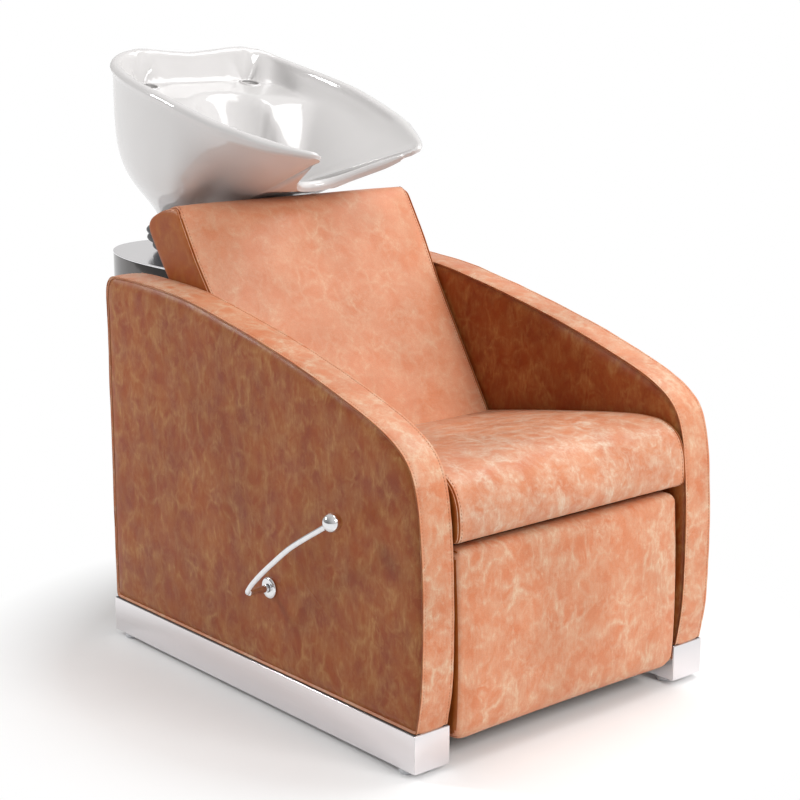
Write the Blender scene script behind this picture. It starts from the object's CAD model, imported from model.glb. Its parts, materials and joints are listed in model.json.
"""Looks of a shampoo backwash unit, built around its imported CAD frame.

Metres, +Z up, floor at z = 0. The unit is centred on x = 0 and left is -X. The seat's front faces
-Y; the basin stands on a steel column behind the back cushion, towards +Y. The drawn heights start
at the underside of the plinths, which is LIFT above the floor.
"""
import json
import math
from contextlib import contextmanager

import bmesh
import bpy
import numpy as np
from mathutils import Matrix, Vector, noise

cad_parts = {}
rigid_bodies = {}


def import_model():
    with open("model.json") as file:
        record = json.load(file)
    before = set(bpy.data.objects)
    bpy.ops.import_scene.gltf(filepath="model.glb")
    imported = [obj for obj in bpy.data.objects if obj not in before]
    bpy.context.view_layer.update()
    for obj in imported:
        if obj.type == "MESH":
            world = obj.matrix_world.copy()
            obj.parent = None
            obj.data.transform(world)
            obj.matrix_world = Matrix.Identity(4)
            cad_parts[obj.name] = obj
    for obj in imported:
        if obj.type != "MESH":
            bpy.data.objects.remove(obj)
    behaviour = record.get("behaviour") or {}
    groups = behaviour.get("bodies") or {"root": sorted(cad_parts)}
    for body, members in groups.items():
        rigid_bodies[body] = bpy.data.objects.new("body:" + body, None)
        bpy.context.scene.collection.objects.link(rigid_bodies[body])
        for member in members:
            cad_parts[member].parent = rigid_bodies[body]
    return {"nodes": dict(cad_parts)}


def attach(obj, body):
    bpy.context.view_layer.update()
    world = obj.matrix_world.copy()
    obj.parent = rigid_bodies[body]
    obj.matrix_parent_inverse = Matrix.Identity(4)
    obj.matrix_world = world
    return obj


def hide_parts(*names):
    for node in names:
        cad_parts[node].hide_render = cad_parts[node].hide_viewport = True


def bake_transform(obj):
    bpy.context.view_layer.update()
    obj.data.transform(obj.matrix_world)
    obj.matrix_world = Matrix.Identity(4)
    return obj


for old in list(bpy.data.objects):
    bpy.data.objects.remove(old, do_unlink=True)
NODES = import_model()["nodes"]
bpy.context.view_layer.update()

# ------------------------------------------------------------------ main dimensions
LIFT = 0.010                            # plinth underside above the floor
SIDES = (("left", -1), ("right", 1))    # name and sign of x
ARM_OUT, ARM_IN = 0.350, 0.277          # outer and inner face of an arm, from x = 0
PLINTH_H, PLINTH_DEPTH = 0.0664, 0.903
PAD_HALF = 0.2755                       # half width of the seat and back cushions
REST_HALF = 0.2672                      # half width of the leg rest
LID_Z = 0.716                           # top of the column
SKIRT_Z = 0.790                         # underside of the basin
DRAIN_Y = 0.005
GAITER_Y = 0.100                        # centre of the gaiter, and of the opening above it


# ------------------------------------------------------------------ shader nodes
class Nodes:
    """A node tree, with short ways to add nodes and link them."""

    def __init__(self, tree):
        self.nodes, self.links = tree.nodes, tree.links

    def feed(self, inputs, values):
        """Links or sets inputs from {input: socket or value}."""
        for key, value in values.items():
            if isinstance(value, bpy.types.NodeSocket):
                self.links.new(value, inputs[key])
            else:
                inputs[key].default_value = value

    def add(self, kind, values=None, **settings):
        node = self.nodes.new("ShaderNode" + kind)
        for key, value in settings.items():
            setattr(node, key, value)
        self.feed(node.inputs, values or {})
        return node

    def coords(self, scale=(1, 1, 1)):
        """Object coordinates, scaled."""
        source = self.add("TexCoord").outputs["Object"]
        return self.add("Mapping", {"Scale": scale, "Vector": source}).outputs["Vector"]

    def noise(self, at, scale, detail=4.0, rough=0.55, distortion=0.0, output="Fac"):
        values = {"Scale": scale, "Detail": detail, "Roughness": rough,
                  "Distortion": distortion, "Vector": at}
        return self.add("TexNoise", values).outputs[output]

    def ramp(self, factor, *stops):
        """A ramp of two stops, each (position, colour or grey level)."""
        node = self.add("ValToRGB", {"Fac": factor})
        for element, (position, colour) in zip(node.color_ramp.elements, stops):
            element.position = position
            rgb = colour if isinstance(colour, tuple) else (colour,) * 3
            element.color = (*rgb, 1.0)
        return node.outputs["Color"]

    def mix(self, factor, first, second, blend="MIX"):
        values = {0: factor, 6: first, 7: second}       # the colour sockets of a Mix node
        return self.add("Mix", values, data_type="RGBA", blend_type=blend).outputs[2]

    def math(self, operation, first, second, clamp=False):
        node = self.add("Math", {0: first, 1: second}, operation=operation, use_clamp=clamp)
        return node.outputs[0]

    def bump(self, height, strength, distance):
        values = {"Strength": strength, "Distance": distance, "Height": height}
        return self.add("Bump", values).outputs["Normal"]


def new_material(name):
    """A material, its nodes and the inputs of its surface shader."""
    mat = bpy.data.materials.new(name)
    mat.use_nodes = True
    return mat, Nodes(mat.node_tree), mat.node_tree.nodes["Principled BSDF"].inputs


def shaded(colour, factor):
    return tuple(min(1.0, c * factor) for c in colour)


# ------------------------------------------------------------------ materials
def leather(name, deep, patch, pale, contrast=1.0, stretch=(1, 1, 1), rough=0.42):
    """Distressed leatherette: warm patches in a broken net of paler veins, with fine streaks
    and a small pebble grain."""
    mat, tree, surface = new_material(name)
    at = tree.coords(stretch)

    def bent(source, scale, amount):
        twist = tree.noise(source, scale=scale, detail=3.0, rough=0.6, output="Color")
        values = {0: twist, 1: (amount,) * 3, 2: source}
        return tree.add("VectorMath", values, operation="MULTIPLY_ADD").outputs[0]

    def net(scale, width, power):
        """Lines along the cell edges, brightest in the middle."""
        cell = tree.add("TexVoronoi", {"Scale": scale, "Vector": wavy},
                        feature="DISTANCE_TO_EDGE")
        away = tree.math("DIVIDE", cell.outputs["Distance"], width, clamp=True)
        return tree.math("POWER", tree.math("SUBTRACT", 1.0, away, clamp=True), power)

    # veins: a net with cells about 4 cm across and a finer one, both bent and broken up
    wavy = bent(bent(at, scale=11.0, amount=0.060), scale=34.0, amount=0.030)
    gate = tree.ramp(tree.noise(at, scale=17.0, detail=3.0, rough=0.6), (0.40, 0.10), (0.60, 1.0))
    fine_gate = tree.ramp(tree.noise(at, scale=29.0, detail=3.0, rough=0.6),
                          (0.46, 0.0), (0.64, 1.0))
    veins = tree.math("MULTIPLY", net(scale=24.0, width=0.26, power=1.5), gate)
    fine_veins = tree.math("MULTIPLY", net(scale=52.0, width=0.34, power=1.4), fine_gate)
    haze = tree.ramp(tree.noise(wavy, scale=30.0, rough=0.62), (0.42, 0.0), (0.68, 1.0))
    light = tree.math("MAXIMUM", veins, tree.math("MULTIPLY", fine_veins, 0.75))
    light = tree.math("ADD", tree.math("MULTIPLY", light, 0.72),
                      tree.math("MULTIPLY", haze, 0.42), clamp=True)
    # brushed fibres break the veins up
    along = tree.coords((stretch[0], stretch[1], stretch[2] * 0.30))
    fibres = tree.ramp(tree.noise(along, scale=210.0, rough=0.7), (0.34, 0.45), (0.62, 1.15))
    light = tree.math("MULTIPLY", light, fibres)
    light = tree.math("MULTIPLY", light, contrast, clamp=True)
    # patches, then specks and broad clouds over everything
    tone = tree.noise(at, scale=20.0, detail=3.0)
    base = tree.ramp(tone, (0.34, deep), (0.60, patch))
    colour = tree.mix(light, base, (*pale, 1.0))
    specks = tree.ramp(tree.noise(tree.coords(), scale=620.0, detail=3.0, rough=0.7),
                       (0.32, (0.86, 0.85, 0.84)), (0.68, (1.10, 1.10, 1.11)))
    colour = tree.mix(0.7, colour, specks, blend="MULTIPLY")
    clouds = tree.ramp(tree.noise(at, scale=6.0, detail=2.0, rough=0.5),
                       (0.32, (0.90, 0.89, 0.88)), (0.68, (1.06, 1.06, 1.07)))
    colour = tree.mix(1.0, colour, clouds, blend="MULTIPLY")
    roughness = tree.ramp(tone, (0.35, rough - 0.06), (0.65, rough + 0.06))
    # relief of pebbles and wrinkles
    pebble = tree.add("TexVoronoi", {"Scale": 850.0, "Vector": tree.coords()}, feature="F1")
    wrinkle = tree.noise(at, scale=60.0, detail=5.0, rough=0.65, distortion=0.6)
    height = tree.math("ADD", tree.math("MULTIPLY", pebble.outputs["Distance"], 0.5), wrinkle)
    tree.feed(surface, {
        "Base Color": colour, "Roughness": roughness, "Specular IOR Level": 0.32,
        "Normal": tree.bump(height, strength=0.20, distance=0.0012)})
    return mat


def metal(name, colour, rough, brush=None, strength=0.05):
    """Polished or brushed metal; brush is the scale of the grain along each axis."""
    mat, tree, surface = new_material(name)
    grain = tree.noise(tree.coords(brush or (40, 40, 40)), scale=1.0 if brush else 3.0,
                       detail=5.0, rough=0.6)
    tint = tree.ramp(grain, (0.3, shaded(colour, 0.93)), (0.7, shaded(colour, 1.05)))
    smudge = tree.noise(tree.coords(), scale=18.0, rough=0.6)
    tree.feed(surface, {
        "Metallic": 1.0, "Base Color": tint,
        "Roughness": tree.ramp(smudge, (0.3, rough * 0.8), (0.75, rough * 1.35)),
        "Normal": tree.bump(grain, strength=strength, distance=0.0004)})
    return mat


def soft(name, colour, rough, grain=400.0, strength=0.15, coat=0.0, spread=0.10):
    """Plastic, rubber, paint or glaze with a little colour and roughness variation."""
    mat, tree, surface = new_material(name)
    fine = tree.noise(tree.coords(), scale=grain, rough=0.6)
    broad = tree.noise(tree.coords(), scale=9.0, detail=3.0, rough=0.5)
    tree.feed(surface, {
        "Base Color": tree.ramp(broad, (0.3, shaded(colour, 1 - spread)),
                                (0.7, shaded(colour, 1 + spread))),
        "Roughness": tree.ramp(broad, (0.3, rough * 0.85), (0.7, min(1, rough * 1.2))),
        "Coat Weight": coat, "Coat Roughness": 0.03,
        "Normal": tree.bump(fine, strength=strength, distance=0.0005)})
    return mat


def plywood(name):
    mat, tree, surface = new_material(name)
    grain = tree.noise(tree.coords((14, 3, 3)), scale=6.0, detail=6.0, rough=0.6, distortion=0.6)
    tint = tree.ramp(grain, (0.3, (0.42, 0.27, 0.14)), (0.7, (0.66, 0.48, 0.29)))
    tree.feed(surface, {"Base Color": tint, "Roughness": 0.7})
    return mat


LIT = dict(deep=(0.560, 0.180, 0.075), patch=(0.590, 0.220, 0.105), pale=(0.640, 0.430, 0.285))
M_SIDE = leather("leather_side", deep=(0.235, 0.038, 0.003), patch=(0.285, 0.057, 0.005),
                 pale=(0.395, 0.172, 0.050), stretch=(1.0, 1.0, 0.80))
M_BAND = leather("leather_band", **LIT)
M_SEAT = leather("leather_seat", deep=(0.540, 0.175, 0.075), patch=(0.585, 0.225, 0.108),
                 pale=(0.650, 0.480, 0.350))
M_REST = leather("leather_rest", **LIT, stretch=(1.0, 1.0, 0.85))
M_BACK = leather("leather_back", deep=(0.590, 0.215, 0.105), patch=(0.610, 0.250, 0.135),
                 pale=(0.640, 0.380, 0.240), contrast=0.85, rough=0.40)
M_EDGE = leather("leather_edge", deep=(0.28, 0.053, 0.004), patch=(0.33, 0.074, 0.006),
                 pale=(0.42, 0.16, 0.030), contrast=0.6)
M_THREAD = soft("thread", (0.30, 0.11, 0.045), rough=0.6, grain=900, strength=0.3)
M_CERAMIC = soft("ceramic_glaze", (0.60, 0.585, 0.58), rough=0.08, grain=30, strength=0.01,
                 coat=0.5, spread=0.012)
M_STEEL = metal("stainless_satin", (0.83, 0.80, 0.81), rough=0.17, brush=(2600, 6, 2600),
                strength=0.04)
M_MIRROR = metal("stainless_mirror", (0.10, 0.092, 0.090), rough=0.07, brush=(34, 34, 0.6),
                 strength=0.0)
M_LID = metal("stainless_lid", (0.96, 0.94, 0.98), rough=0.14, brush=(1500, 5, 5), strength=0.02)
M_CHROME = metal("chrome_plate", (0.80, 0.80, 0.81), rough=0.05, strength=0.004)
M_ZINC = metal("zinc_plate", (0.56, 0.57, 0.58), rough=0.33, brush=(90, 90, 90), strength=0.1)
M_BLACK = soft("frame_paint", (0.035, 0.035, 0.038), rough=0.42, grain=700, spread=0.15)
M_RUBBER = soft("gaiter_rubber", (0.022, 0.023, 0.026), rough=0.48, grain=500, strength=0.2,
                spread=0.2)
M_HOSE = soft("hose_plastic", (0.30, 0.31, 0.32), rough=0.45, grain=300)
M_FOOT = soft("foot_nylon", (0.62, 0.63, 0.65), rough=0.35, grain=500, strength=0.1, spread=0.05)
M_PLY = plywood("plywood")
M_BUSH = soft("bush_plastic", (0.05, 0.05, 0.05), rough=0.5, grain=500)


# ------------------------------------------------------------------ lines
def ease(start, end, value):
    """0 to 1 between start and end, level at both; start may be the larger."""
    t = min(1.0, max(0.0, (value - start) / (end - start)))
    return t * t * (3 - 2 * t)


def spline_points(control, per_span):
    """Catmull-Rom points through the control points, ends kept."""
    pts = [np.array(p, float) for p in control]
    pts = [2 * pts[0] - pts[1]] + pts + [2 * pts[-1] - pts[-2]]
    out = []
    for i in range(1, len(pts) - 2):
        p0, p1, p2, p3 = pts[i - 1:i + 3]
        for k in range(per_span):
            t = k / per_span
            out.append(0.5 * (2 * p1 + (p2 - p0) * t + (2 * p0 - 5 * p1 + 4 * p2 - p3) * t * t
                              + (3 * p1 - p0 - 3 * p2 + p3) * t ** 3))
    out.append(pts[-2])
    return out


def distances(points):
    """Distance along a line to each of its points."""
    steps = np.linalg.norm(np.diff(points, axis=0), axis=1)
    return np.concatenate([[0], np.cumsum(steps)])


def sampled(at, along, values):
    """Each column of values, interpolated at some distances along a line."""
    return np.stack([np.interp(at, along, column) for column in values.T], axis=1)


def resample(points, step, closed=False):
    """Points spaced evenly along a line."""
    pts = np.array(points, float)
    if closed:
        pts = np.vstack([pts, pts[:1]])
    along = distances(pts)
    count = max(2, int(round(along[-1] / step)))
    at = np.linspace(0, along[-1], count + 1)
    return sampled(at[:-1] if closed else at, along, pts)


def inset_outline(points, distance):
    """A closed outline moved inwards by a distance, mitred; negative moves it out."""
    pts = np.asarray(points, float)
    after, before = np.roll(pts, -1, axis=0), np.roll(pts, 1, axis=0)
    area = 0.5 * np.sum(pts[:, 0] * after[:, 1] - after[:, 0] * pts[:, 1])
    sign = 1.0 if area > 0 else -1.0

    def inward(edges):
        edges = edges / np.linalg.norm(edges, axis=1)[:, None]
        return np.stack([-edges[:, 1], edges[:, 0]], 1) * sign

    normal = inward(pts - before)
    mitre = normal + inward(after - pts)
    mitre /= np.maximum(1e-9, np.sum(mitre * normal, axis=1))[:, None]
    longest = 1.6                       # limit of a mitre, in insets
    mitre *= np.minimum(1.0, longest / np.linalg.norm(mitre, axis=1))[:, None]
    return pts + mitre * distance


def lifted(points):
    """Points (y, z) measured from the plinth underside, raised to floor heights."""
    return [(y, z + LIFT) for y, z in points]


def closed_outline(lines, step):
    """A closed outline from consecutive lines, and the index where each line starts."""
    out, starts = [], []
    for line in lines:
        starts.append(len(out))
        out += list(resample(line, step))[:-1]
    return np.array(out), starts


# ------------------------------------------------------------------ meshes
@contextmanager
def editing(mesh):
    """A mesh opened as a bmesh and written back afterwards."""
    bm = bmesh.new()
    bm.from_mesh(mesh)
    yield bm
    bm.to_mesh(mesh)
    bm.free()


def linked(name, mesh, mats):
    obj = bpy.data.objects.new(name, mesh)
    bpy.context.scene.collection.objects.link(obj)
    for mat in mats:
        mesh.materials.append(mat)
    return obj


def object_from(bm, name, mats=()):
    mesh = bpy.data.meshes.new(name)
    bm.to_mesh(mesh)
    bm.free()
    return linked(name, mesh, mats)


def shade_smooth(mesh):
    mesh.polygons.foreach_set("use_smooth", [True] * len(mesh.polygons))


def new_mesh(name, verts, faces, mats):
    mesh = bpy.data.meshes.new(name)
    mesh.from_pydata([tuple(map(float, v)) for v in verts], [], faces)
    obj = linked(name, mesh, mats)
    with editing(mesh) as bm:
        bmesh.ops.recalc_face_normals(bm, faces=bm.faces)
    shade_smooth(mesh)
    return obj


def sharp(obj, degrees):
    """Keeps edges steeper than this crisp in smooth shading."""
    with editing(obj.data) as bm:
        for edge in bm.edges:
            if len(edge.link_faces) == 2 and edge.calc_face_angle(0.0) > math.radians(degrees):
                edge.smooth = False


def rings_mesh(name, rings, mats, cap_first=None, cap_last=None, loop=False):
    """Skins closed rings of equal count. A cap is a centre point, or None for open."""
    n, rows = len(rings[0]), len(rings)
    verts = [p for ring in rings for p in ring]
    faces = []
    for row in range(rows if loop else rows - 1):
        a, b = row * n, ((row + 1) % rows) * n
        for i in range(n):
            j = (i + 1) % n
            faces.append((a + i, a + j, b + j, b + i))
    if cap_first is not None:
        verts.append(cap_first)
        centre = len(verts) - 1
        faces += [(centre, (i + 1) % n, i) for i in range(n)]
    if cap_last is not None:
        verts.append(cap_last)
        centre = len(verts) - 1
        a = (rows - 1) * n
        faces += [(centre, a + i, a + (i + 1) % n) for i in range(n)]
    return new_mesh(name, verts, faces, mats)


def tube(name, points, radii, mats, sides, squash=1.0):
    """A bar along a line, with a radius for each point. squash flattens it along x."""
    pts = [Vector(p) for p in points]
    turns = [2 * math.pi * k / sides for k in range(sides)]
    rings = []
    for i, (p, radius) in enumerate(zip(pts, radii)):
        along = (pts[min(i + 1, len(pts) - 1)] - pts[max(i - 1, 0)]).normalized()
        u = Vector((1, 0, 0))
        u = (u - along * u.dot(along)).normalized()
        w = along.cross(u)
        rings.append([p + (u * math.cos(a) * squash + w * math.sin(a)) * radius for a in turns])
    return rings_mesh(name, rings, mats, cap_first=pts[0], cap_last=pts[-1])


def turned(name, profile, centre, mats, steps, axis="Z", closed=False):
    """A turned piece from (radius, height) points about a line through centre."""
    cx, cy, cz = centre
    rings = []
    for radius, height in profile:
        ring = []
        for k in range(steps):
            a = 2 * math.pi * k / steps
            c, s = radius * math.cos(a), radius * math.sin(a)
            if axis == "Z":
                ring.append((cx + c, cy + s, cz + height))
            else:
                ring.append((cx + height, cy + c, cz + s))
        rings.append(ring)
    return rings_mesh(name, rings, mats, loop=closed)


def aim(obj, place, direction):
    """Turns a mesh's +Z to a direction and moves it to a place."""
    turn = Vector((0, 0, 1)).rotation_difference(direction).to_matrix().to_4x4()
    obj.data.transform(Matrix.Translation(place) @ turn)


def block(name, low, high, radius, mat):
    """A box between two corners, with rounded edges."""
    bm = bmesh.new()
    bmesh.ops.create_cube(bm, size=1.0)
    for v in bm.verts:
        v.co = Vector([0.5 * (a + b) + v.co[i] * (b - a)
                       for i, (a, b) in enumerate(zip(low, high))])
    bmesh.ops.bevel(bm, geom=bm.edges[:], offset=radius, segments=3, profile=0.5, affect="EDGES")
    obj = object_from(bm, name, (mat,))
    shade_smooth(obj.data)
    return obj


def joined(name, objs):
    """Makes one mesh of several."""
    bm = bmesh.new()
    mats = []
    for obj in objs:
        first = len(bm.faces)
        slots = {}
        for i, mat in enumerate(obj.data.materials):
            if mat not in mats:
                mats.append(mat)
            slots[i] = mats.index(mat)
        bm.from_mesh(obj.data)
        bm.faces.ensure_lookup_table()
        for face in bm.faces[first:]:
            face.material_index = slots.get(face.material_index, 0)
    whole = object_from(bm, name, mats)
    for obj in objs:
        bpy.data.objects.remove(obj, do_unlink=True)
    return whole


def fit(body, slot, pieces, *replaced):
    """Hands pieces to the frame; the first one stands in for the replaced CAD nodes."""
    for piece in pieces:
        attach(piece, body)
    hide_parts(*replaced)


# ------------------------------------------------------------------ upholstery tools
def slab(name, outline, half, edge, band, mats, caps, centre, middle_x=0.0):
    """An upholstered slab with a side outline in (y, z), reaching half to each side of middle_x.

    edge runs (inset, depth) from the side panel to the rim, band (depth, inset) from the rim to
    the middle of the slab. caps is the number of steps from the panel's centre to its edge.
    """
    outline, centre = np.asarray(outline, float), np.array(centre)

    def drawn_in(distance):
        # past 10 mm the rest of the way goes toward the middle, so that no corner folds over
        near = inset_outline(outline, min(distance, 0.010))
        way = centre - near
        return near + way / np.linalg.norm(way, axis=1)[:, None] * max(0.0, distance - 0.010)

    panel = drawn_in(edge[0][0])
    panel_depth = edge[0][1]
    layers = [(panel_depth, centre + (panel - centre) * (k / caps) ** 0.85)
              for k in range(1, caps)]
    layers += [(depth, drawn_in(inset)) for inset, depth in edge]
    layers += [(depth, inset_outline(outline, inset)) for depth, inset in band]
    low, high = middle_x - half, middle_x + half
    rings = [[(low + depth, *p) for p in ring] for depth, ring in layers]
    rings += [[(high - depth, *p) for p in ring] for depth, ring in reversed(layers[:-1])]
    obj = rings_mesh(name, rings, mats, cap_first=(low + panel_depth, *centre),
                     cap_last=(high - panel_depth, *centre))
    obj["ring"] = len(outline)          # points in a ring
    obj["rows"] = len(rings)
    return obj


def to_middle(rim, half, steps):
    """A band that carries on evenly from the rim to the middle of a slab."""
    start = rim[-1][0]
    return rim + [(start + (half - start) * (k + 1) / steps, 0.0) for k in range(steps)]


def paint_faces(obj, side_index, band_index, limit):
    """Gives faces that look along x one material slot and the rest another."""
    for face in obj.data.polygons:
        face.material_index = side_index if abs(face.normal.x) > limit else band_index


def puff(obj, amount, scale, keep):
    """Moves points along their normals with smooth noise, for the unevenness of padding."""
    spots = [(v.co.copy(), v.normal.copy()) for v in obj.data.vertices]
    for v, (p, normal) in zip(obj.data.vertices, spots):
        v.co = p + normal * (amount * noise.noise(p * scale) * keep(p))
    obj.data.update()


def round_corners(obj, half, level, up, radius):
    """Rounds a slab's corners at x = +-half where it ends at height level; up is 1 at its
    top and -1 at its foot."""
    x0, z0 = half - radius, level - up * radius
    for v in obj.data.vertices:
        dx, dz = abs(v.co.x) - x0, up * (v.co.z - z0)
        if dx > 0 and dz > 0:
            k = max(dx, dz) / math.hypot(dx, dz)
            v.co.x = math.copysign(x0 + dx * k, v.co.x)
            v.co.z = z0 + up * dz * k


CLOTH = dict(quality=5, mass=0.35, tension_stiffness=8, compression_stiffness=8,
             shear_stiffness=4, bending_stiffness=0.4, use_pressure=True,
             uniform_pressure_force=4.0, vertex_group_mass="held")
CLOTH_FRAMES = 20


def cloth_shape(obj, grip):
    """Vertex places after a cloth simulation that pumps the cover up."""
    group = obj.vertex_groups.new(name="held")
    for i, held in enumerate(grip):
        if held > 0.001:
            group.add([i], float(held), "REPLACE")
    mod = obj.modifiers.new("cover", "CLOTH")
    for key, value in CLOTH.items():
        setattr(mod.settings, key, value)
    mod.settings.effector_weights.gravity = 0
    mod.collision_settings.use_collision = False
    mod.point_cache.frame_start = 1
    mod.point_cache.frame_end = CLOTH_FRAMES
    scene = bpy.context.scene
    for frame in range(1, CLOTH_FRAMES + 1):
        scene.frame_set(frame)
    out = obj.evaluated_get(bpy.context.evaluated_depsgraph_get())
    moved = np.array([v.co for v in out.data.vertices], float)
    obj.modifiers.remove(mod)
    scene.frame_set(1)
    return moved


def inflate(obj, hold, travel):
    """Pumps a closed cover up. hold gives each point's grip from 0 to 1, travel is the
    farthest a point may go."""
    mesh = obj.data
    rest = np.array([v.co for v in mesh.vertices], float)
    grip = np.array([hold(v.co) for v in mesh.vertices])
    moved = cloth_shape(obj, grip)
    # a simulation that blew up leaves the cover as it was
    if moved.shape == rest.shape and np.isfinite(moved).all():
        step = moved - rest
        length = np.linalg.norm(step, axis=1)
        limit = travel * np.tanh(length / travel)
        step *= (limit / np.maximum(length, 1e-9))[:, None]
        step *= (1 - grip)[:, None] ** 0.5
        for v, p in zip(mesh.vertices, rest + step):
            v.co = p
    mesh.update()


def refine(obj):
    mod = obj.modifiers.new("fine", "SUBSURF")
    mod.levels = 1
    mod.render_levels = 1


def ring_path(obj, row, start, end):
    """Points and normals of one ring of a slab, between two places on its outline."""
    first = row * obj["ring"]
    verts = [obj.data.vertices[first + i] for i in range(start, end)]
    return np.array([v.co for v in verts], float), np.array([v.normal for v in verts], float)


def stitches(name, path, normals, pitch, length, radius, lift):
    """A row of thread stitches along a line on a surface, lift above it."""
    along = distances(path)
    count = int(along[-1] / pitch)
    middles = (np.arange(count) + 0.5) * pitch
    corners = 5

    def unit(vectors):
        return vectors / np.maximum(1e-9, np.linalg.norm(vectors, axis=1))[:, None]

    rows = []
    # place along the stitch in lengths, share of the radius, and up or down
    for place, share, up in ((-0.5, 0.25, -1.0), (-0.3, 1.0, 1.0), (0.3, 1.0, 1.0),
                             (0.5, 0.25, -1.0)):
        at = middles + place * length
        p = sampled(at, along, path)
        t = unit(sampled(at + 0.001, along, path) - p)
        n = sampled(at, along, normals)
        n = unit(n - t * np.sum(n * t, axis=1)[:, None])
        w = np.cross(t, n)
        p = p + n * lift * up
        rows.append([p + (n * math.cos(a) + w * math.sin(a)) * radius * share
                     for a in (2 * math.pi * j / corners for j in range(corners))])
    verts = np.array(rows).transpose(2, 0, 1, 3).reshape(-1, 3)      # stitch, row, corner
    faces = []
    for k in range(count):
        base = k * 4 * corners
        for row in range(3):
            for j in range(corners):
                a = base + row * corners + j
                b = base + row * corners + (j + 1) % corners
                faces.append((a, b, b + corners, a + corners))
        faces.append(tuple(base + j for j in reversed(range(corners))))
        faces.append(tuple(base + 3 * corners + j for j in range(corners)))
    return new_mesh(name, verts, faces, (M_THREAD,))


def stitching(name, obj, span, welt_row, stitch_row, welt, stitch):
    """Seam threads and rows of stitches near both sides of a slab, over a span of its outline.

    welt is (lift, radius) of the seam thread; stitch holds the sizes of the stitches.
    """
    last = obj["rows"] - 1
    lift, radius = welt
    made = []
    for row in (welt_row, last - welt_row):
        points, normals = ring_path(obj, row, *span)
        line = points + lift * normals
        made.append(tube("welt", line, [radius] * len(line), (M_THREAD,), sides=5))
    for row in (stitch_row, last - stitch_row):
        made.append(stitches("row", *ring_path(obj, row, *span), **stitch))
    return joined(name, made)


# ------------------------------------------------------------------ arms
ARM_FOOT = PLINTH_H + 0.0004
REAR_TOP = (0.0, 0.645)                 # top of the upright rear edge
# (y, z) over the rear corner, along the top and down the front
ARM_TOP = [
    REAR_TOP, (0.0, 0.674), (-0.004, 0.693), (-0.015, 0.7055), (-0.032, 0.7095),
    (-0.1265, 0.7083), (-0.258, 0.698), (-0.382, 0.676), (-0.4995, 0.651), (-0.61, 0.6235),
    (-0.716, 0.592), (-0.817, 0.556), (-0.877, 0.517), (-0.903, 0.461), (-0.915, 0.366),
    (-0.9185, 0.26), (-0.9155, 0.145), (-PLINTH_DEPTH, ARM_FOOT)]
# (inset, depth): the domed panel, the seam ridge and the seam's groove
ARM_EDGE = [
    (0.042, 0.0), (0.03, 0.0003), (0.022, 0.0009), (0.0155, 0.0019), (0.0105, 0.0032),
    (0.0076, 0.0045), (0.0058, 0.0058), (0.0047, 0.0062), (0.0038, 0.0054), (0.0028, 0.0038),
    (0.0018, 0.0029), (0.0008, 0.0028), (0.0, 0.0034), (-0.0006, 0.0046)]
# (depth, inset)
ARM_BAND = [(0.0062, -0.0004), (0.0078, 0.0004), (0.0088, 0.0003), (0.0104, -0.0004),
            (0.014, -0.0011), (0.019, -0.0016), (0.027, -0.002), (0.0365, -0.0021)]
ARM_CAPS = 22
ARM_SEAM = ARM_CAPS - 1 + 7             # row of the deepest point of the edge
ARM_STITCHES = ARM_CAPS - 1 + len(ARM_EDGE) + 1


def build_arm(side, sign):
    rear = resample([(0.0, ARM_FOOT), REAR_TOP], 0.016)
    top = resample(spline_points(ARM_TOP, 8), 0.0075)
    base = resample([ARM_TOP[-1], (0.0, ARM_FOOT)], 0.016)
    outline = lifted(np.vstack([rear[:-1], top[:-1], base[:-1]]))
    arm = slab(f"{side}_arm_upholstery", outline, 0.5 * (ARM_OUT - ARM_IN), ARM_EDGE, ARM_BAND,
               (M_SIDE, M_BAND, M_EDGE), caps=ARM_CAPS, centre=(-0.46, 0.36),
               middle_x=sign * 0.5 * (ARM_OUT + ARM_IN))

    def above_foot(p):
        return ease(0.075, 0.16, p.z)

    puff(arm, amount=0.0009, scale=16.0, keep=above_foot)
    puff(arm, amount=0.0004, scale=55.0, keep=above_foot)
    paint_faces(arm, side_index=0, band_index=1, limit=0.75)
    trim = stitching(f"{side}_arm_stitching", arm, (2, len(rear) - 1 + len(top)),
                     ARM_SEAM, ARM_STITCHES, welt=(0.0004, 0.0006),
                     stitch=dict(pitch=0.0056, length=0.0036, radius=0.00045, lift=0.0001))
    refine(arm)
    fit("base", "upholstery", (arm, trim), f"{side}_arm_cover")


for side_name, side_sign in SIDES:
    build_arm(side_name, side_sign)

# ------------------------------------------------------------------ seat and back
# a gusset wraps the side edges, then come a sewn groove and a row of stitches
PAD_CAPS = 9
PAD_EDGE = [(0.02, 0.0), (0.012, 0.0001), (0.0066, 0.0004), (0.003, 0.001),
            (0.0008, 0.002)]            # (inset, depth)
PAD_RIM = [(0.003, 0.0004), (0.0038, 0.0014), (0.0044, 0.0032), (0.005, 0.0034),
           (0.0056, 0.0014), (0.0068, 0.0), (0.0088, -0.0004), (0.0104, 0.0002),
           (0.012, -0.0003)]            # (depth, inset)
PAD_BAND_START = PAD_CAPS - 1 + len(PAD_EDGE)
PAD_GROOVE, PAD_STITCHES = PAD_BAND_START + 3, PAD_BAND_START + 7


def pad(name, outline, mats, centre):
    return slab(name, outline, PAD_HALF, PAD_EDGE, to_middle(PAD_RIM, PAD_HALF, 26), mats,
                caps=PAD_CAPS, centre=centre)


def pad_stitching(name, obj, end):
    return stitching(name, obj, (0, end), PAD_GROOVE, PAD_STITCHES, welt=(0.0002, 0.0007),
                     stitch=dict(pitch=0.0064, length=0.0042, radius=0.0006, lift=0.00025))


SEAT_UNDER = 0.3728
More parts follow.
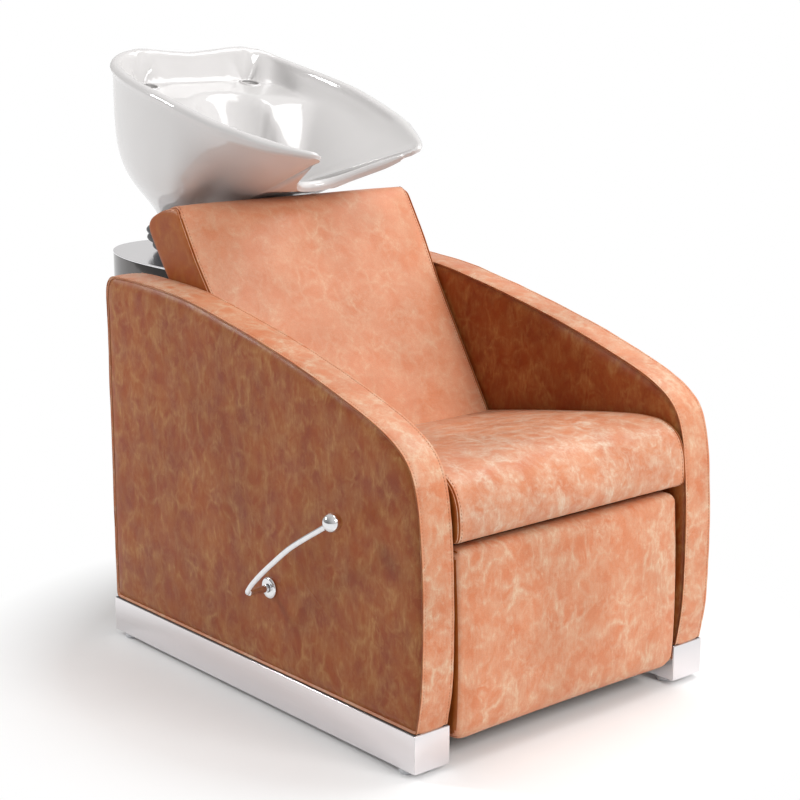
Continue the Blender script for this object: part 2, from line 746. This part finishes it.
# (y, z) from the rear forwards over the top, down the waterfall front and underneath
SEAT_TOP = [
    (-0.4085, 0.425), (-0.5, 0.4415), (-0.6, 0.4585), (-0.71, 0.4755), (-0.79, 0.4862),
    (-0.835, 0.4885), (-0.862, 0.4862), (-0.884, 0.4785), (-0.9, 0.466), (-0.9105, 0.449),
    (-0.9165, 0.428), (-0.9185, 0.404), (-0.9178, 0.386), (-0.914, 0.3765), (-0.907, 0.3732),
    (-0.899, SEAT_UNDER)]
SEAT_HEEL = (-0.44, 0.3725)             # rear end of the underside


def build_seat():
    lines = [spline_points(SEAT_TOP, 6), [SEAT_TOP[-1], SEAT_HEEL], [SEAT_HEEL, SEAT_TOP[0]]]
    outline, starts = closed_outline([lifted(line) for line in lines], 0.009)
    seat = pad("seat_upholstery", outline, (M_SEAT, M_EDGE), centre=(-0.70, 0.425 + LIFT))

    def hold(co):
        under = 1.0 if co.z < SEAT_UNDER + LIFT + 0.001 else 0.0
        side = 1.0 if abs(co.x) > 0.256 else 0.0
        return max(under, side, ease(-0.470, -0.430, co.y))

    inflate(seat, hold, travel=0.007)
    paint_faces(seat, side_index=1, band_index=0, limit=0.7)
    trim = pad_stitching("seat_stitching", seat, starts[1])
    refine(seat)
    return seat, trim


BACK_SLOPE = 0.2583 / 0.4200            # y per z of the leaning front
BACK_LEAN = math.atan(BACK_SLOPE)
BACK_THICK = 0.105
BACK_TOP, BACK_FOOT = 0.8462, 0.376
BACK_TOP_HALF = 0.2826                  # half width of the widened top


def back_front(z):
    """Point (y, z) of the leaning front face."""
    return (-0.1477 - (0.847 - z) * BACK_SLOPE, z)


def back_rear(z):
    """Point (y, z) of the rear face."""
    y, height = back_front(z)
    y += math.cos(BACK_LEAN) * BACK_THICK
    height -= math.sin(BACK_LEAN) * BACK_THICK
    return (y + (z - height) * BACK_SLOPE, z)


def build_back():
    front = [back_front(z) for z in (BACK_FOOT, 0.45, 0.53, 0.61, 0.69, 0.76, 0.8, 0.826)]
    rolled_top = spline_points([
        back_front(0.826), (-0.1525, 0.8395), (-0.145, BACK_TOP), (-0.133, BACK_TOP),
        (-0.105, 0.837), (-0.074, 0.824), (-0.06, 0.815), (-0.0535, 0.803), (-0.06, 0.786),
        back_rear(0.76)], 5)
    lines = [front, rolled_top, [back_rear(0.76), back_rear(BACK_FOOT)],
             [back_rear(BACK_FOOT), back_front(BACK_FOOT)]]
    outline, starts = closed_outline([lifted(line) for line in lines], 0.010)
    back = pad("back_upholstery", outline, (M_BACK, M_EDGE), centre=(-0.27, 0.58 + LIFT))
    for v in back.data.vertices:
        v.co.x *= 1 + 0.026 * ease(0.660, 0.780, v.co.z)
    round_corners(back, BACK_TOP_HALF, BACK_TOP + LIFT, up=1, radius=0.015)
    back.data.update()
    forward = Vector((0, -math.cos(BACK_LEAN), math.sin(BACK_LEAN)))
    on_front = Vector((0, back_front(0.60)[0], 0.60 + LIFT))

    def hold(co):
        rear = 1.0 if -(co - on_front).dot(forward) > 0.080 else 0.0
        side = 1.0 if abs(co.x) > 0.254 else 0.0
        return max(rear, side, 1 - ease(0.380 + LIFT, 0.420 + LIFT, co.z))

    inflate(back, hold, travel=0.006)
    paint_faces(back, side_index=1, band_index=0, limit=0.7)
    trim = pad_stitching("back_stitching", back, starts[2])
    refine(back)
    return back, trim


# ------------------------------------------------------------------ leg rest
REST_REAR, REST_TOP, REST_FOOT = -0.8742, 0.3605, 0.030
# (y, z) over the top edge, down the front face and round the foot
REST_FACE = [
    (-0.886, 0.3604), (-0.899, 0.3602), (-0.905, 0.358), (-0.9075, 0.352), (-0.9085, 0.33),
    (-0.911, 0.292), (-0.9136, 0.236), (-0.9152, 0.161), (-0.914, 0.09), (-0.9115, 0.056),
    (-0.908, 0.04), (-0.9, 0.0325), (-0.886, 0.0302)]
REST_EDGE = [(0.014, 0.0), (0.01, 0.0003), (0.0066, 0.0012), (0.004, 0.0027),
             (0.002, 0.0048), (0.0007, 0.0074)]         # (inset, depth)
REST_RIM = [(0.0105, 0.0), (0.016, -0.0003)]            # (depth, inset)


def build_rest():
    """A thin pad with rounded corners."""
    foot, top = (REST_REAR, REST_FOOT), (REST_REAR, REST_TOP)
    lines = [spline_points(REST_FACE, 6), [REST_FACE[-1], foot], [foot, top],
             [top, REST_FACE[0]]]
    outline, _ = closed_outline([lifted(line) for line in lines], 0.008)
    rest = slab("legrest_upholstery", outline, REST_HALF, REST_EDGE,
                to_middle(REST_RIM, REST_HALF, 25), (M_REST, M_EDGE), caps=4,
                centre=(-0.893, 0.195 + LIFT))
    round_corners(rest, REST_HALF, REST_TOP + LIFT, up=1, radius=0.015)
    round_corners(rest, REST_HALF, REST_FOOT + LIFT, up=-1, radius=0.026)
    rest.data.update()

    def hold(co):
        return max(ease(-0.890, -0.880, co.y), 1.0 if abs(co.x) > 0.249 else 0.0)

    inflate(rest, hold, travel=0.004)
    paint_faces(rest, side_index=1, band_index=0, limit=0.86)
    refine(rest)
    return (rest,)


seat_pieces, back_pieces, rest_pieces = build_seat(), build_back(), build_rest()
fit("base", "upholstery", seat_pieces, "seat_cushion")
fit("base", "upholstery", back_pieces, "back_cushion")
fit("leg_rest", "upholstery", rest_pieces, "legrest_cushion")

# ------------------------------------------------------------------ basin
BOWL_Z = 0.836                          # bottom of the bowl
DRAIN_R = 0.024
DECK_Z, DECK_SLOPE = 1.049, 0.268       # the rear deck at the taps, and its rise per y
TAP_X, TAP_Y, TAP_HOLE_R = 0.125, 0.175, 0.0175
SHELL = 0.010                           # wall thickness
MOUTH_R = 0.140                         # the opening underneath, over the gaiter
RIM_ROLL = 0.011                        # radius of the rolled rim
HULL_POWER = 2.4
HULL_STEPS, BOWL_STEPS = 26, 34
# (x, y, z) of the right half, from the rear middle round to the front horn and the neck notch
RIM = [
    (0.0, 0.226, 1.103), (0.065, 0.227, 1.108), (0.1255, 0.22, 1.113), (0.178, 0.207, 1.105),
    (0.212, 0.178, 1.09), (0.232, 0.11, 1.07), (0.241, 0.03, 1.051), (0.2415, -0.045, 1.033),
    (0.236, -0.115, 1.013), (0.222, -0.195, 0.99), (0.197, -0.268, 0.972),
    (0.168, -0.32, 0.959), (0.142, -0.356, 0.951), (0.124, -0.372, 0.947),
    (0.109, -0.365, 0.941), (0.104, -0.333, 0.928), (0.082, -0.275, 0.905),
    (0.062, -0.237, 0.889), (0.035, -0.208, 0.874), (0.0, -0.197, 0.869)]
# (y, z) of the lowest the basin may come over the back cushion
CLEARANCE = ((-0.2, 0.862), (-0.15, 0.859), (-0.125, 0.853), (-0.07, 0.833), (-0.052, 0.813),
             (-0.04, SKIRT_Z))


def clear_of_back(y):
    return float(np.interp(y, *zip(*CLEARANCE)))


def soft_max(a, b, blend):
    return 0.5 * (a + b + math.sqrt((a - b) ** 2 + blend * blend))


def shelf_height(x, y):
    """The deck behind a curved crest, falling away in front of it and open over the drain."""
    crest = 0.030 + 0.080 * math.sqrt(max(0.0, 1 - (x / 0.190) ** 2))
    ahead = max(0.0, crest - y)
    steepness = 1.15 + 1.30 * math.exp(-(x / 0.050) ** 2)
    fall = steepness * ahead * ahead / (ahead + 0.030)
    from_drain = math.hypot(x, y - DRAIN_Y)
    return min(DECK_Z + (max(y, crest) - TAP_Y) * DECK_SLOPE - fall,
               BOWL_Z + 2.2 * max(0.0, from_drain - 0.026))


def hull_line(mouth, under, front):
    """Outside wall from under the rim down to the mouth; front is 1 at the horns."""
    hull = []
    for k in range(1, HULL_STEPS + 1):
        s = k / HULL_STEPS
        at_side = math.cos(math.pi / 2 * s ** HULL_POWER) ** 1.4 if s < 1 else 0.0
        at_front = max(0.0, 1 - 1.22 * s) if s < 0.82 else 0.0
        out = (1 - front) * at_side + front * at_front
        pos = mouth + (under[:2] - mouth) * out
        z = under[2] + (SKIRT_Z - under[2]) * s
        lowest = min(clear_of_back(pos[1]), under[2] - 0.008 * s)
        hull.append(np.array([*pos, max(z, lowest)]))
    return hull


def bowl_line(rim_y, side, lip, drain, mouth, under, hull):
    """Inside wall from the lip down to the drain, kept a wall's thickness off the hull."""
    across = under[:2] - mouth

    def outward(pos):
        """0 over the mouth's edge and 1 under the rim."""
        return float(np.dot(pos - mouth, across) / np.dot(across, across))

    hull_out = [outward(q[:2]) for q in reversed(hull)] + [1.0]
    hull_z = [float(q[2]) for q in reversed(hull)] + [float(under[2])]
    bend = ease(-0.150, -0.300, rim_y)
    near_horn = np.array([side * (0.125 + 0.25 * (abs(lip[0]) - 0.120)), -0.170])
    via = (1 - bend) * 0.5 * (drain + lip[:2]) + bend * near_horn
    if side == 0:
        via[0] = 0.0
    rear = ease(0.100, 0.170, rim_y)    # behind the taps the wall is nearly upright
    over_front = ease(0.05, -0.06, rim_y)
    bowl = []
    for k in range(1, BOWL_STEPS + 1):
        down = k / BOWL_STEPS
        g = 1 - down ** (1 + 0.6 * rear)
        pos = drain * (1 - g) ** 2 + 2 * g * (1 - g) * via + lip[:2] * g ** 2
        steep = (1 - rear) * g * (1.14 - 0.14 * g) + rear * g ** 3.2
        sag = 0.012 * (1 - ease(0.90, 1.0, g)) * ease(0.0, 0.5, g) * (1 - bend) * (1 - rear)
        funnel = BOWL_Z + (lip[2] - BOWL_Z) * steep - sag
        z = soft_max(funnel, shelf_height(pos[0], pos[1]), 0.0035)
        z = max(z, clear_of_back(pos[1]) + 0.0095)
        out = outward(pos)
        thickness = SHELL * (0.3 + 0.9 * min(1.0, 2.0 * down))
        over_hull = float(np.interp(out, hull_out, hull_z)) + thickness
        if out < 1.0:
            z += max(0.0, over_hull - z) * over_front
        bowl.append(np.array([*pos, min(z, lip[2] - 0.001 * down)]))
    bowl[-1][2] = BOWL_Z
    return bowl


def basin_section(rim, i, share):
    """One closed section at a rim point: under the rim, down the hull, in over the mouth, up
    the bowl and round the rolled rim. share is how far the point is along its half of the rim."""
    n, half = len(rim), len(rim) // 2
    p = rim[i]
    side = 0 if i in (0, half) else (-1 if i > half else 1)
    angle = (0.45 * math.atan2(p[1] - 0.03, abs(p[0]))
             + 0.55 * (math.pi / 2 - math.pi * share))
    spoke = np.array([side * math.cos(angle), math.sin(angle)])

    def round_gaiter(radius):
        return np.array([0.0, GAITER_Y]) + spoke * radius

    mouth = round_gaiter(MOUTH_R - 0.004)
    along = (rim[(i + 1) % n] - rim[i - 1])[:2]
    along /= np.linalg.norm(along)
    inward = np.array([along[1], -along[0]])
    if side == 0:
        inward = np.array([0.0, -1.0 if i == 0 else 1.0])
    # the roll is slimmer at the tips of the horns
    roll = RIM_ROLL * (1 - 0.45 * ease(-0.300, -0.345, p[1]))

    def beside_rim(inset, rise):
        return np.array([*(p[:2] + inward * roll * inset), p[2] + roll * rise])

    def at_roll(turn):
        return beside_rim(1 - math.cos(turn), math.sin(turn))

    under, lip = beside_rim(0.42, -1.02), beside_rim(2.0, -0.1)
    hull = hull_line(mouth, under, front=ease(-0.06, -0.27, p[1]))
    drain = np.array([0.0, DRAIN_Y]) + spoke * DRAIN_R
    bowl = bowl_line(p[1], side, lip, drain, mouth, under, hull)
    ceiling = SKIRT_Z + 0.036           # inside the mouth, under the bowl
    underside = [np.array([*round_gaiter(0.126), SKIRT_Z]),
                 np.array([*round_gaiter(0.124), ceiling]),
                 np.array([*drain, ceiling])]
    return ([at_roll(-0.42), at_roll(-0.85), under] + hull + underside + bowl[::-1] + [lip]
            + [at_roll(0.35 * k) for k in range(8, -1, -1)])


def basin_rings():
    right = [np.array(p) for p in spline_points(RIM, 5)]
    right[0][0] = right[-1][0] = 0.0
    rim = right + [p * np.array([-1, 1, 1]) for p in reversed(right[1:-1])]
    n = len(rim)
    along = distances(right)
    sections = [basin_section(rim, i, float(along[min(i, n - i)] / along[-1]))
                for i in range(n)]
    up = np.array([0, 0, LIFT])
    return [[p + up for p in ring] for ring in zip(*sections)]


def tap_seat(y):
    """Height of the flat seats under the taps."""
    return DECK_Z + LIFT + DECK_SLOPE * (y - TAP_Y)


def from_tap(co):
    return math.hypot(abs(co.x) - TAP_X, co.y - TAP_Y)


def relax(bm, verts, times, factor, level=True):
    """Smooths vertices; level smooths their place in x and y too."""
    for _ in range(times):
        bmesh.ops.smooth_vert(bm, verts=verts, factor=factor, use_axis_x=level,
                              use_axis_y=level, use_axis_z=True)


def soften_basin(bm):
    # the facets where shelf, bowl and horns meet, leaving the rim and the openings alone
    inside = [v for v in bm.verts if v.co.z > BOWL_Z + LIFT + 0.004
              and math.hypot(v.co.x, v.co.y - DRAIN_Y) > 0.027]
    relax(bm, inside, times=3, factor=0.35, level=False)
    neck = [v for v in bm.verts if v.co.y < -0.10 and v.normal.z > 0.15
            and v.co.z > 0.868 + LIFT and abs(v.co.x) < 0.20]
    relax(bm, neck, times=14, factor=0.5)
    # a flat seat for each tap, let into the foot of the wall behind it
    bm.normal_update()
    for v in bm.verts:
        seat_z = tap_seat(v.co.y)
        if v.normal.z > -0.05 and seat_z - 0.010 < v.co.z < seat_z + 0.060:
            v.co.z += (1 - ease(0.025, 0.035, from_tap(v.co))) * (seat_z - v.co.z)
    around = [v for v in bm.verts if v.normal.z > -0.05 and v.co.z > tap_seat(v.co.y) + 0.0005
              and 0.0262 < from_tap(v.co) < 0.048 and v.co.y < 0.208]
    relax(bm, around, times=6, factor=0.5)


def cut_tap_hole(basin, x):
    bm = bmesh.new()
    bmesh.ops.create_cone(bm, segments=64, radius1=TAP_HOLE_R, radius2=TAP_HOLE_R, depth=0.16,
                          cap_ends=True)
    bmesh.ops.translate(bm, verts=bm.verts, vec=(x, TAP_Y, 1.020 + LIFT))
    cutter = object_from(bm, "tap_cut")
    mod = basin.modifiers.new("tap", "BOOLEAN")
    mod.operation, mod.solver, mod.object = "DIFFERENCE", "EXACT", cutter
    bpy.context.view_layer.update()
    graph = bpy.context.evaluated_depsgraph_get()
    cut = bpy.data.meshes.new_from_object(basin.evaluated_get(graph))
    basin.modifiers.remove(mod)
    basin.data = cut
    bpy.data.objects.remove(cutter, do_unlink=True)


# (radius, height) of the raised lip round a tap hole
TAP_LIP = [(0.0174, -0.003), (0.0174, 0.001), (0.018, 0.0022), (0.0194, 0.0028),
           (0.021, 0.0024), (0.0224, 0.001), (0.024, -0.0006), (0.0242, -0.003)]


def build_basin():
    basin = rings_mesh("basin_shell", basin_rings(), (M_CERAMIC,), loop=True)
    with editing(basin.data) as bm:
        soften_basin(bm)
    deck_normal = Vector((0, -DECK_SLOPE, 1)).normalized()
    lips = []
    for _, sign in SIDES:
        cut_tap_hole(basin, sign * TAP_X)
        lip = turned("lip", TAP_LIP, (0, 0, 0), (M_CERAMIC,), steps=72, closed=True)
        aim(lip, (sign * TAP_X, TAP_Y, DECK_Z + LIFT), deck_normal)
        lips.append(lip)
    shade_smooth(basin.data)
    basin.data.materials.clear()
    basin.data.materials.append(M_CERAMIC)
    sharp(basin, 55)
    fit("basin", "ceramic", (basin, joined("basin_tap_lips", lips)), "basin")


def build_gaiter():
    """Rubber sleeve with rounded folds, between the lid and the basin."""
    folds, steps, wall = 4, 14, 0.0024
    top, bottom = SKIRT_Z - 0.0008 + LIFT, LID_Z + 0.0006 + LIFT
    outer = []
    for k in range(folds * steps + 1):
        f = k / (folds * steps)
        swell = abs(math.sin(math.pi * f * folds)) ** 0.8
        belly = 0.135 + 0.017 * math.sin(math.pi * min(1.0, f * 1.05)) ** 1.2
        outer.append((belly + 0.0085 * swell, top + (bottom - top) * f))
    profile = outer + [(r - wall, z) for r, z in reversed(outer)]
    gaiter = turned("gaiter", profile, (0, GAITER_Y, 0), (M_RUBBER,), steps=72, closed=True)
    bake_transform(gaiter)
    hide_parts("bellows")


# (x, y, z) from the drain down inside the column to the floor behind
HOSE = [(0, DRAIN_Y, 0.778), (0, DRAIN_Y + 0.002, 0.74), (0.01, 0.016, 0.65),
        (0.05, 0.02, 0.52), (0.09, 0.04, 0.36), (0.1, 0.1, 0.19), (0.085, 0.17, 0.095),
        (0.035, 0.22, 0.05), (0, 0.23, 0.01)]


def build_hose():
    """Corrugated waste hose; a corrugation is four points long."""
    line = [(x, y, z + LIFT) for x, y, z in resample(spline_points(HOSE, 6), 0.0022)]
    radii = [0.0172 + 0.0014 * math.sin(2 * math.pi * i / 4.0) for i in range(len(line))]
    hose = tube("hose", line, radii, (M_HOSE,), sides=24)
    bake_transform(hose)
    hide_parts("waste_hose")


build_basin()
build_gaiter()
build_hose()

# ------------------------------------------------------------------ column
COLUMN_FRONT, COLUMN_REAR, COLUMN_HALF = -0.056, 0.335, 0.238
LID_HOLE_R = 0.118


def column_outline(grow):
    """Plan of the column in (x, y): a flat front and a rounded rear."""
    count = 26
    half, front, rear = COLUMN_HALF + grow, COLUMN_FRONT - grow, COLUMN_REAR + grow
    right = []
    for k in range(count + 1):
        a = k / count * math.pi / 2
        right.append((half * math.cos(a) ** 0.72, front + (rear - front) * math.sin(a) ** 0.86))
    left = [(-x, y) for x, y in reversed(right[:-1])]
    return resample(right + left, 0.008, closed=True)


def level_rings(outline, steps):
    """Rings of a level outline from (inset, height) steps."""
    return [[(x, y, z) for x, y in inset_outline(outline, inset)] for inset, z in steps]


def build_column():
    foot, top = LIFT - 0.0036, LID_Z - 0.0034 + LIFT
    jacket_steps = [(0.0016, foot + 0.0002), (0.0003, foot), (0.0, foot + 0.001), (0.0, 0.10),
                    (0.0, 0.30), (0.0, 0.50), (0.0, top - 0.001), (0.0003, top), (0.0016, top),
                    (0.0016, 0.30)]
    jacket = rings_mesh("column_jacket", level_rings(column_outline(-0.0008), jacket_steps),
                        (M_MIRROR,), loop=True)
    plan = column_outline(0.0)
    angles = [math.atan2(y - GAITER_Y, x) for x, y in plan]
    hole = [(LID_HOLE_R * math.cos(a), GAITER_Y + LID_HOLE_R * math.sin(a)) for a in angles]
    low, high = LID_Z - 0.003 + LIFT, LID_Z + LIFT
    lid_steps = [(0.0022, low), (0.0006, low), (0.0, low + 0.0008), (0.0, high - 0.0012),
                 (0.0005, high - 0.0004), (0.0014, high), (0.004, high)]
    rings = [[(x, y, low) for x, y in hole], *level_rings(plan, lid_steps),
             [(x, y, high) for x, y in hole]]
    lid = rings_mesh("column_cap", rings, (M_LID,), loop=True)
    for piece, node in ((jacket, "column_shell"), (lid, "column_lid")):
        sharp(piece, 50)
        fit("base", "stainless", (piece,), node)


# ------------------------------------------------------------------ plinths and feet
PROUD = 0.0012                          # the sheet stands this far off the timber
FOOT_Y, FOOT_X = (-0.868, -0.035), (0.338, 0.290)
# (radius, height)
FOOT = [(0.0, 0.0), (0.0098, 0.0), (0.0108, 0.0006), (0.0113, 0.0018), (0.0116, 0.004),
        (0.0124, 0.0046), (0.0125, 0.006), (0.0119, 0.0066), (0.0119, 0.0092),
        (0.0112, 0.0096), (0.0, 0.0096)]


def build_plinth(side, sign):
    """A folded wrap, a separate front sheet and the dark hem on top."""
    low, high = sorted((sign * ARM_IN, sign * ARM_OUT))
    low, high = low - PROUD, high + PROUD
    front, rear = -PLINTH_DEPTH - PROUD, PROUD
    top = PLINTH_H + LIFT
    plinth = joined(f"{side}_plinth_sheet", [
        block("wrap", (low, front + 0.0019, LIFT), (high, rear, top), 0.0009, M_STEEL),
        block("front", (low + 0.0001, front, LIFT + 0.0002),
              (high - 0.0001, front + 0.0014, top - 0.0002), 0.0006, M_STEEL),
        block("hem", (low + 0.0015, front + 0.003, top - 0.0012),
              (high - 0.0015, rear - 0.002, top + 0.001), 0.0005, M_BUSH)])
    fit("base", "stainless", (plinth,), f"{side}_plinth")


def build_feet(side, sign):
    feet = joined(f"{side}_feet", [turned("foot", FOOT, (sign * x, y, 0.0), (M_FOOT,), steps=40)
                                   for y in FOOT_Y for x in FOOT_X])
    fit("base", "foot_plastic", (feet,),
        *[f"{side}_{end}_{row}_foot" for end in ("front", "rear") for row in ("inner", "outer")])


build_column()
for side_name, side_sign in SIDES:
    build_plinth(side_name, side_sign)
    build_feet(side_name, side_sign)

# ------------------------------------------------------------------ lever, outside the left arm
PIVOT_Y, PIVOT_Z = -0.517, 0.2187 + LIFT
LEVER_X = -0.400
BAR_R, BAR_STEP, KNOB_R = 0.0052, 0.003, 0.0165
# (radius, x) from the arm's outer face
ROSETTE = [(0.007, -0.0002), (0.0194, -0.0002), (0.0196, -0.001), (0.0194, -0.0024),
           (0.0186, -0.0038), (0.0172, -0.0048), (0.015, -0.0052), (0.011, -0.0053),
           (0.0084, -0.0053), (0.0074, -0.005), (0.007, -0.0042)]
# (radius, x)
SPINDLE = [(0.0, -0.3975), (0.0036, -0.3972), (0.005, -0.396), (0.0056, -0.3938),
           (0.0058, -0.388), (0.0062, -0.372), (0.0066, -0.36), (0.0066, -0.352),
           (0.006, -0.3515), (0.006, -0.259), (0.0, -0.2588)]
# (y, z) from the spindle to the knob
BAR = [(-0.5155, 0.2172), (-0.5311, 0.2368), (-0.56, 0.264), (-0.5995, 0.2965),
       (-0.641, 0.329), (-0.683, 0.356), (-0.723, 0.38), (-0.745, 0.3932)]
# (radius, height) of the collar under the knob's ball
COLLAR = [(0.0064, -0.015), (0.0066, -0.0158), (0.0064, -0.0172), (0.0056, -0.0178),
          (0.0, -0.0178)]


def build_lever():
    rosette = turned("lever_escutcheon", ROSETTE, (-ARM_OUT - 0.0002, PIVOT_Y, PIVOT_Z),
                     (M_CHROME,), steps=72, axis="X", closed=True)
    sharp(rosette, 50)
    fit("base", "chrome", (rosette,), "lever_rosette")

    spindle = turned("spindle", SPINDLE, (0.0, PIVOT_Y, PIVOT_Z), (M_CHROME,), steps=48,
                     axis="X")
    line = resample([(LEVER_X, y, z + LIFT) for y, z in spline_points(BAR, 8)], BAR_STEP)
    # the bar's first end is rounded off
    short = [max(0.0, 1 - i * BAR_STEP / BAR_R) for i in range(len(line))]
    radii = [BAR_R * math.sqrt(max(0.02, 1 - s ** 2)) for s in short]
    bar = tube("bar", line, radii, (M_CHROME,), sides=28, squash=0.62)
    turns = [math.pi * k / 32 * 0.865 for k in range(33)]
    ball = [(KNOB_R * math.sin(t), KNOB_R * math.cos(t)) for t in turns]
    knob = turned("knob", ball + COLLAR, (0, 0, 0), (M_CHROME,), steps=64)
    (y0, z0), (y1, z1) = BAR[-2:]
    aim(knob, (LEVER_X, -0.7575, 0.401 + LIFT), Vector((0, y1 - y0, z1 - z0)).normalized())
    handle = joined("lever_handle", [spindle, bar])
    knob.name = "lever_knob"
    sharp(knob, 60)
    fit("lever", "chrome", (handle,), "lever_rod", "lever_shaft")
    fit("lever", "chrome", (knob,), "lever_ball")


build_lever()

# ------------------------------------------------------------------ pieces kept as CAD shapes
# material, endings of node names, whole node names; the first match counts
FINISHES = (
    (M_ZINC, ("side_plate", "swing_plate", "lift_bar", "guide_link", "control_rod"),
     ("drag_link", "lever_crank", "torque_tube", "tilt_pin")),
    (M_BLACK, ("rest_bracket", "seat_rail"),
     ("front_cross_rail", "rear_cross_rail", "support_post", "tilt_fork", "tilt_cradle",
      "column_foot_plate")),
    (M_PLY, ("_board", "_arm_frame"), ()),
    (M_CHROME, (), ("drain_fitting", "drain_nut", "strainer")),
    (M_BUSH, (), ("lever_bush",)),
)


def finish_cad():
    for name, node in NODES.items():
        for mat, endings, names in FINISHES:
            if name.endswith(endings) or name in names:
                mesh = node.data
                mesh.materials.clear()
                mesh.materials.append(mat)
                mesh.polygons.foreach_set("material_index", [0] * len(mesh.polygons))
                break


finish_cad()


# ------------------------------------------------------------------ stage, light and camera
def build_floor():
    """A pale floor that fades to pure white away from the unit."""
    bm = bmesh.new()
    bmesh.ops.create_grid(bm, x_segments=2, y_segments=2, size=30)
    floor = object_from(bm, "floor")
    mat, tree, surface = new_material("pale_floor")
    tree.feed(surface, {"Base Color": (0.90, 0.90, 0.90, 1), "Roughness": 0.9})
    mottle = tree.noise(tree.coords(), scale=3.0)
    tree.feed(surface, {"Base Color": tree.ramp(mottle, (0.3, 0.885), (0.7, 0.91))})
    away = tree.add("VectorMath", operation="LENGTH")
    unit_middle = (0.0, -0.42, 0.0)
    from_middle = tree.add("VectorMath", {0: tree.coords(), 1: unit_middle},
                           operation="SUBTRACT")
    tree.feed(away.inputs, {0: from_middle.outputs[0]})
    reach = tree.math("DIVIDE", away.outputs["Value"], 4.0)     # in units of 4 m
    fade = tree.ramp(reach, (0.152, 0.0), (0.215, 1.0))
    glow = tree.add("Emission", {"Color": (1, 1, 1, 1)})
    shader = tree.nodes["Principled BSDF"].outputs[0]
    blend = tree.add("MixShader", {0: fade, 1: shader, 2: glow.outputs[0]})
    tree.feed(tree.nodes["Material Output"].inputs, {"Surface": blend.outputs[0]})
    floor.data.materials.append(mat)


def build_world():
    """White to the camera; as light, brighter from above, from +X and from both ends of Y."""
    world = bpy.data.worlds.new("studio")
    bpy.context.scene.world = world
    world.use_nodes = True
    tree = Nodes(world.node_tree)
    tree.nodes.clear()
    direction = tree.add("TexCoord").outputs["Generated"]
    x, y, z = tree.add("SeparateXYZ", {0: direction}).outputs
    from_right = tree.math("MULTIPLY", x, 0.25)
    from_front = tree.math("MULTIPLY", y, -0.09)
    # ABSOLUTE uses only its first input
    from_ends = tree.math("MULTIPLY", tree.math("ABSOLUTE", y, 0.0), 0.21)
    sideways = tree.math("ADD", from_right, tree.math("ADD", from_front, from_ends))
    level = tree.math("ADD", tree.math("MULTIPLY", z, 0.28), sideways)
    strength = tree.math("MAXIMUM", tree.math("ADD", level, 0.38), 0.10)
    light = tree.add("Background", {"Color": (1.0, 0.99, 0.98, 1), "Strength": strength})
    seen = tree.add("Background", {"Color": (1, 1, 1, 1), "Strength": 1.0})
    is_camera = tree.add("LightPath").outputs["Is Camera Ray"]
    mixed = tree.add("MixShader", {0: is_camera, 1: light.outputs[0], 2: seen.outputs[0]})
    tree.add("OutputWorld", {"Surface": mixed.outputs[0]})


def area_light(name, at, target, size, power):
    light = bpy.data.lights.new(name, "AREA")
    light.energy = power
    light.size = size
    obj = bpy.data.objects.new(name, light)
    bpy.context.scene.collection.objects.link(obj)
    obj.location = at
    obj.rotation_euler = (Vector(target) - Vector(at)).to_track_quat("-Z", "Y").to_euler()


def build_camera():
    data = bpy.data.cameras.new("camera")
    data.sensor_width = 36.0
    data.lens = 79.9002
    data.clip_end = 100
    camera = bpy.data.objects.new("camera", data)
    bpy.context.scene.collection.objects.link(camera)
    look = Vector((0.6337, 0.7415, -0.2199)).normalized()
    right = look.cross(Vector((0.1428, 0.1671, 0.9752))).normalized()
    up = right.cross(look).normalized()
    basis = Matrix((right, up, -look)).transposed().to_4x4()
    camera.matrix_world = Matrix.Translation((-2.0952, -2.9083, 1.2297)) @ basis
    bpy.context.scene.camera = camera


build_floor()
build_world()
area_light("key", at=(0.35, -3.7, 2.3), target=(0.0, -0.5, 0.45), size=1.3, power=63)
area_light("overhead", at=(1.2, -0.9, 3.0), target=(0.0, -0.4, 0.5), size=1.8, power=38)
area_light("left_rear", at=(-2.1, 1.9, 2.2), target=(-0.2, -0.4, 0.5), size=0.6, power=44)
build_camera()
bpy.context.scene.view_settings.view_transform = "Standard"

bpy.context.view_layer.update()
